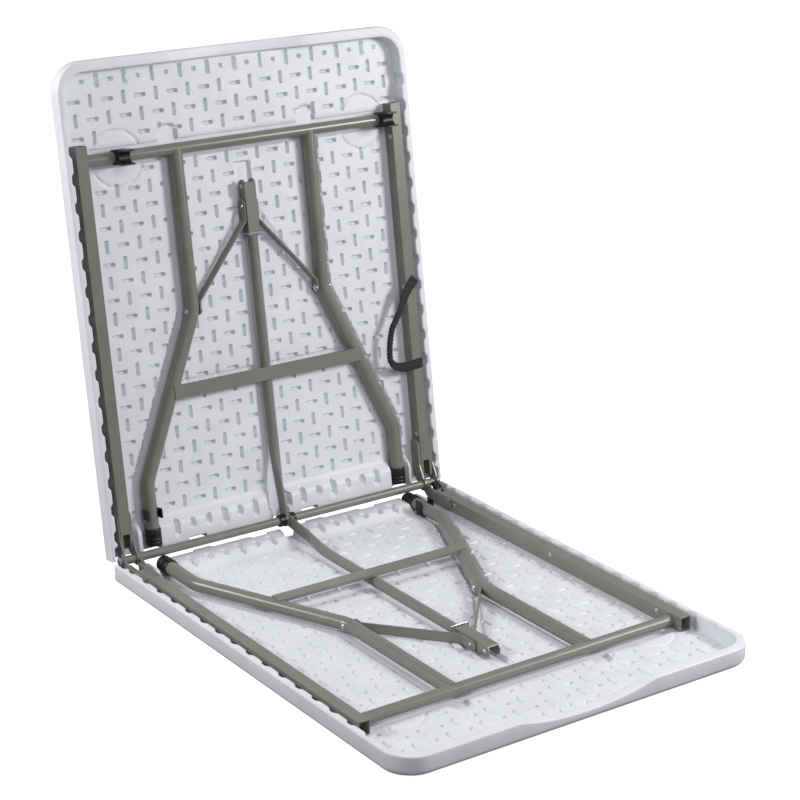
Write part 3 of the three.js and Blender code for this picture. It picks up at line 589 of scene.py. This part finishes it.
def rim_and_face():
    outer, inner = rim_stations()
    rings = rim_section(outer, inner)
    count = len(outer)
    points = np.concatenate(rings)
    faces = []
    for k in range(len(rings) - 1):
        for i in range(count - 1):
            a, b = k * count + i, (k + 1) * count + i
            faces.append((a, b, b + 1, a + 1))
    # Ends at the hinge
    faces.append(tuple(k * count for k in reversed(range(len(rings)))))
    faces.append(tuple(k * count + count - 1 for k in range(len(rings))))
    # Smooth face, closed along the castellated hinge edge
    y_lines = np.sort(np.concatenate([np.linspace(-360, 360, 100), tab_edges(-TAB_SLOPE, 0)]))
    start = len(points)
    hinge = np.column_stack([hinge_edge(y_lines), y_lines, 0 * y_lines])
    points = np.concatenate([points, hinge])
    faces.append(tuple(range(count)) + tuple(range(start, start + len(hinge))))
    return points, faces


for half in HALVES:
    body = join_parts([floor_grid(half), rim_and_face()])
    make_piece(f"{half}_moulded_top", *body, half, f"{half}_half", "table_top", polyethylene, 50,
               [f"{half}_top"])

# %% [markdown]
# ## Bent leg tubes
# Each leg is a round tube with two bends, drawn over a mandrel so that it keeps its section. A
# circle swept along the centre line, with an arc at each bend, gives that. Both ends are hidden,
# the foot's in its cap and the other at the cross tube, so flat ends are enough.

# %% Sweep a tube
def rounded_path(points, radius, steps=10):
    path = [np.array(points[0], float)]
    for before, corner, after in zip(points, points[1:], points[2:]):
        before, corner, after = (np.array(p, float) for p in (before, corner, after))
        back = (before - corner) / np.linalg.norm(before - corner)
        ahead = (after - corner) / np.linalg.norm(after - corner)
        turn = math.pi - math.acos(float(np.clip(back @ ahead, -1, 1)))
        reach = radius * math.tan(turn / 2)
        for k in range(steps + 1):
            t = k / steps
            path.append((1 - t) ** 2 * (corner + back * reach) + 2 * t * (1 - t) * corner
                        + t * t * (corner + ahead * reach))
    return [*path, np.array(points[-1], float)]


def ring_faces(rings, sides, open_start=False):
    faces = []
    for i in range(rings - 1):
        for k in range(sides):
            a, b = i * sides + k, i * sides + (k + 1) % sides
            faces.append((a, b, b + sides, a + sides))
    if not open_start:
        faces.append(tuple(range(sides - 1, -1, -1)))
    last = (rings - 1) * sides
    faces.append(tuple(range(last, last + sides)))
    return faces


def swept_tube(path, radius, sides=32, up=(0, 0, 1)):
    points = []
    for i, centre in enumerate(path):
        along = path[min(i + 1, len(path) - 1)] - path[max(i - 1, 0)]
        along = along / np.linalg.norm(along)
        aside = np.cross(np.array(up, float), along)
        aside /= np.linalg.norm(aside)
        rise = np.cross(along, aside)
        for k in range(sides):
            angle = 2 * math.pi * k / sides
            points.append(centre + radius * (math.cos(angle) * aside + math.sin(angle) * rise))
    return points, ring_faces(len(path), sides)


TUBE_Z, LEG_RADIUS, LEG_END, BEND_RADIUS = 20.0, 12.5, 13.0, 60
SIDES = {"lower": (("near", -1), ("far", 1)), "upper": (("near", 1), ("far", -1))}
for half in HALVES:
    for word, sign in SIDES[half]:
        corners = [(CROSS_X, sign * LEG_Y, TUBE_Z), (BEND_X, sign * LEG_Y, TUBE_Z),
                   (FOOT_X, sign * FOOT_Y, TUBE_Z), (LEG_END, sign * FOOT_Y, TUBE_Z)]
        tube = swept_tube(rounded_path(corners, BEND_RADIUS), LEG_RADIUS)
        make_piece(f"{half}_leg_tube_{word}", *tube, half, f"{half}_legs", "frame_steel",
                   powder_coat, 40, [f"{half}_leg_{word}"])

# %% [markdown]
# ## Domed heads
# Bolts and self-tapping screws show as small domed heads with a washer. A turned profile is the
# natural way to make them: a list of radii and heights spun round an axis.

# %% Turn a head
def turned(profile, centre, axis, sides=20):
    axis = np.array(axis, float)
    helper = np.array((0, 0, 1.0)) if abs(axis[2]) < 0.9 else np.array((1.0, 0, 0))
    aside = np.cross(axis, helper)
    aside /= np.linalg.norm(aside)
    other = np.cross(axis, aside)
    points = []
    for radius, rise in profile:
        for k in range(sides):
            angle = 2 * math.pi * k / sides
            points.append(np.array(centre, float) + axis * rise
                          + radius * (math.cos(angle) * aside + math.sin(angle) * other))
    return points, ring_faces(len(profile), sides, open_start=True)


SCREW = [(5.2, 0), (5.2, 0.7), (4.0, 0.8), (3.7, 1.9), (2.6, 2.7), (1.2, 3.0), (1.1, 2.2),
         (0.1, 2.2)]
BOLT = [(6.5, 0), (6.5, 1.0), (5.2, 1.2), (4.9, 2.8), (3.4, 4.0), (1.6, 4.5), (0.1, 4.6)]
RAIL_INNER, SCREW_X, SCREW_Z = 326.0, (100, 395, 690), 25
STRUT_X, STRUT_Z, STRUT_THICKNESS = 425.5, 20.0, 3.4
FORK_RIVET_X, FORK_SIDE, FORK_RIVET_Z = 601.2 + 36, 11.8, 18


def plated_heads(name, heads, half, body):
    make_piece(f"{half}_{name}", *join_parts(heads), half, f"{half}_{body}", "plated_hardware",
               zinc_plate)


for half in HALVES:
    screws, bolts = [], []
    for s in (-1, 1):
        for x in SCREW_X:
            screws.append(turned(SCREW, (x, s * RAIL_INNER, SCREW_Z), (0, -s, 0)))
        inside = s * (LEG_Y - LEG_RADIUS - STRUT_THICKNESS)
        bolts.append(turned(BOLT, (STRUT_X, inside, STRUT_Z), (0, -s, 0)))
        bolts.append(turned(BOLT, (STRUT_X, s * (LEG_Y + LEG_RADIUS), STRUT_Z), (0, s, 0)))
    rivets = [turned(SCREW, (FORK_RIVET_X, s * FORK_SIDE, FORK_RIVET_Z), (0, s, 0))
              for s in (-1, 1)]
    plated_heads("rail_screws", screws, half, "half")
    plated_heads("strut_bolts", bolts, half, "legs")
    plated_heads("fork_rivets", rivets, half, "brace")

# %% [markdown]
# ## Foot caps
# A black cap is pushed over each tube end. Two grooves leave three shallow ribs, and its open end
# has a rounded lip.

# %% Turn the foot caps
CAP = [(0.1, 0), (11.5, 0), (14.0, 0.6), (15.0, 2.4), (15.0, 7), (14.5, 7.6), (14.5, 8.8),
       (15.0, 9.4), (15.0, 14), (14.5, 14.6), (14.5, 15.8), (15.0, 16.4), (15.0, 30.2),
       (14.4, 31.6), (12.9, 32)]
CAP_WALL = 2.8                             # the cap's closed end, beyond the tube
for half in HALVES:
    for word, sign in SIDES[half]:
        cap = turned(CAP, (LEG_END - CAP_WALL, sign * FOOT_Y, TUBE_Z), (1, 0, 0), 32)
        make_piece(f"{half}_foot_boot_{word}", *cap, half, f"{half}_legs", "black_plastic",
                   polypropylene, 50, [f"{half}_foot_cap_{word}"])

# %% [markdown]
# ## The carry strap
# A flat tape is screwed to the outside of the rail, comes over it, rolls into a ribbed grip, and
# goes back over the rail. It is flat tape at both ends and nearly round in the grip, so a section
# that changes along the path is swept, and the rolled turns are drawn as beads.

# %% Sweep the strap
STRAP = [  # x, y, z of the middle, half width, half thickness, depth of the beads
    (410, 347, 35.6, 10, 1.0, 0), (400, 337, 36.0, 10, 1.0, 0), (388, 324, 37.0, 9.5, 1.1, 0),
    (366, 311, 38.0, 8, 1.6, 0), (348, 301, 37.0, 6.5, 2.8, 0), (334, 292, 36.0, 6, 3.8, 0.5),
    (318, 282, 35.5, 5.6, 4.6, 1), (290, 275, 34.5, 5.6, 4.6, 1), (264, 273, 34.0, 5.6, 4.6, 1),
    (252, 277, 34.5, 6.5, 3.4, 0.4), (245, 286, 35.5, 8, 1.8, 0), (241, 300, 36.0, 9.5, 1.2, 0),
    (241, 322, 36.0, 10, 1.0, 0), (242, 336, 36.0, 10, 1.0, 0), (243, 347, 35.6, 10, 1.0, 0),
]


def smooth_stations(stations, steps):
    data = np.array(stations, float)
    out = []
    for i in range(len(data) - 1):
        p0, p1 = data[max(i - 1, 0)], data[i]
        p2, p3 = data[i + 1], data[min(i + 2, len(data) - 1)]
        for k in range(steps):
            t = k / steps
            out.append(0.5 * (2 * p1 + (p2 - p0) * t + (2 * p0 - 5 * p1 + 4 * p2 - p3) * t ** 2
                              + (3 * p1 - p0 - 3 * p2 + p3) * t ** 3))
    return np.array([*out, data[-1]])


BEAD_LENGTH, BEAD_SWELL, CORNER_POWER = 7.0, 0.14, 0.7      # below 1, the power squares a round


def strap_mesh(sides=28):
    data = smooth_stations(STRAP, 14)
    centres = data[:, :3] * (1, -1, 1)
    steps = np.linalg.norm(np.diff(centres, axis=0), axis=1)
    length = np.concatenate([[0], np.cumsum(steps)])
    points = []
    for i, centre in enumerate(centres):
        along = centres[min(i + 1, len(centres) - 1)] - centres[max(i - 1, 0)]
        along[2] = 0
        along /= np.linalg.norm(along)
        aside = np.array((-along[1], along[0], 0))
        half_width, half_thick, beads = data[i, 3:]
        swell = 1 + BEAD_SWELL * beads * math.cos(2 * math.pi * length[i] / BEAD_LENGTH)
        for k in range(sides):
            angle = 2 * math.pi * k / sides
            c, s = (math.copysign(abs(v) ** CORNER_POWER, v)
                    for v in (math.cos(angle), math.sin(angle)))
            rise = np.array((0, 0, half_thick * s * swell))
            points.append(centre + aside * half_width * c * swell + rise)
    return points, ring_faces(len(centres), sides)


make_piece("carry_strap_tape", *strap_mesh(), "upper", "upper_half", "webbing", webbing, 60,
           ["carry_strap"])

# %% [markdown]
# ## Pieces kept from the model
# Rails, cross tubes, braces, struts, hinge plates and clips already have their true shape. They
# keep it, and get a rounded edge from a bevel modifier, so that their corners catch the light as
# folded sheet and moulded plastic do.

# %% Finish the kept pieces
BEVEL_FROM = 38            # degrees: a flatter edge than this keeps its shape
FINISH = {                 # finish, and the radius of its edges in millimetres
    "plated_hardware": (zinc_plate, 0.3), "black_plastic": (polypropylene, 0.6),
    "frame_steel": (powder_coat, 0.9), "table_top": (polyethylene, 1.0), "webbing": (webbing, 0.5),
}
slots = {p["node"]: p["material_slot"] for p in frame["record"]["subparts"]}
kept = 0
for name, node in frame["nodes"].items():
    if node.hide_render:
        continue
    material, round_mm = FINISH[slots[name]]
    node.data.materials.clear()
    node.data.materials.append(material)
    node.data.shade_smooth()
    bevel = node.modifiers.new("rounded edges", "BEVEL")
    bevel.width = round_mm * MM
    bevel.segments = 2
    bevel.limit_method = "ANGLE"
    bevel.angle_limit = math.radians(BEVEL_FROM)
    bevel.harden_normals = True
    kept += 1
print("kept pieces:", kept)

# %% [markdown]
# ## Floor, light and camera
# The object stands on a plain white floor in a white room with large soft lamps, so that shadows
# stay faint. A floor and room as bright as the camera should see them would flood the white
# plastic with light. So a Light Path node shows the camera a bright floor and room, and lights
# the object from a grey floor and a dimmer room. Only the stage uses it. The camera looks down at
# the underside from beyond the outer end of the lower half.

# %% Stage
def backdrop_paper():
    material, tree, place = start_material("paper_backdrop_white")
    fibre_size = 8 * MM
    fibre = add_node(tree, "ShaderNodeTexNoise", {"Scale": 1 / fibre_size, "Detail": 2.0},
                     {"Vector": place})
    rough = add_node(tree, "ShaderNodeMapRange", {"To Min": 0.85, "To Max": 0.95},
                     {"Value": fibre.outputs["Fac"]})
    seen = add_node(tree, "ShaderNodeBsdfPrincipled",
                    {"Base Color": linear("#FFFFFF"), "Specular IOR Level": 0.1,
                     "Emission Color": linear("#FFFFFF"), "Emission Strength": 0.75},
                    {"Roughness": rough.outputs["Result"]})
    bounce = add_node(tree, "ShaderNodeBsdfDiffuse", {"Color": linear("#6A6A6C")})
    sight = add_node(tree, "ShaderNodeLightPath")
    mixed = add_node(tree, "ShaderNodeMixShader",
                     links={0: sight.outputs["Is Camera Ray"], 1: bounce.outputs["BSDF"],
                            2: seen.outputs["BSDF"]})
    add_node(tree, "ShaderNodeOutputMaterial", links={"Surface": mixed.outputs["Shader"]})
    return material


FLOOR_SIZE, FLOOR_DROP = 12.0, 0.0005      # metres from the middle to each side, and below zero
floor_corners = [(FLOOR_SIZE * a, FLOOR_SIZE * b, -FLOOR_DROP)
                 for a, b in ((-1, -1), (1, -1), (1, 1), (-1, 1))]
floor_mesh = bpy.data.meshes.new("studio_floor")
floor_mesh.from_pydata(floor_corners, [], [(0, 1, 2, 3)])
floor_mesh.materials.append(backdrop_paper())
studio_floor = bpy.data.objects.new("studio_floor", floor_mesh)
bpy.context.collection.objects.link(studio_floor)

ROOM_LIGHT = 0.34
world = bpy.data.worlds.new("white_room")
bpy.context.scene.world = world
world.use_nodes = True
background = world.node_tree.nodes["Background"]
background.inputs["Color"].default_value = (1, 1, 1, 1)
sight = add_node(world.node_tree, "ShaderNodeLightPath")
strength = add_node(world.node_tree, "ShaderNodeMapRange", {"To Min": ROOM_LIGHT, "To Max": 1.0},
                    {"Value": sight.outputs["Is Camera Ray"]})
world.node_tree.links.new(strength.outputs["Result"], background.inputs["Strength"])


def soft_lamp(name, place, aim, power, width):
    lamp = bpy.data.lights.new(name, "AREA")
    lamp.shape, lamp.size, lamp.energy = "SQUARE", width, power
    holder = bpy.data.objects.new(name, lamp)
    holder.location = place
    holder.rotation_euler = (Vector(aim) - Vector(place)).to_track_quat("-Z", "Y").to_euler()
    bpy.context.collection.objects.link(holder)


# Name, place, aim, watts, width in metres
soft_lamp("key_lamp", (1.3, 1.6, 1.35), (-0.3, 0, 0.45), 33, 0.6)
soft_lamp("front_lamp", (2.2, -0.6, 2.0), (-0.3, 0, 0.4), 14, 0.8)
soft_lamp("left_lamp", (-0.9, -2.0, 1.4), (-0.42, -0.37, 0.6), 30, 0.7)

# %% Camera
EYE = Vector((2.935, -2.087, 1.655))
LOOK = Vector((-0.7677, 0.5473, -0.3334))
ROLL = math.radians(0.42)
lens = bpy.data.cameras.new("camera")
lens.lens, lens.sensor_width = 99.5, 36.0
lens.shift_x, lens.shift_y = 0.0016, 0.0012
camera = bpy.data.objects.new("camera", lens)
camera.matrix_world = (Matrix.Translation(EYE) @ LOOK.to_track_quat("-Z", "Y").to_matrix().to_4x4()
                       @ Matrix.Rotation(ROLL, 4, "Z"))
bpy.context.collection.objects.link(camera)
bpy.context.scene.camera = camera
bpy.context.scene.view_settings.view_transform = "Standard"
print("camera", round(EYE.length, 2), "m from the origin")
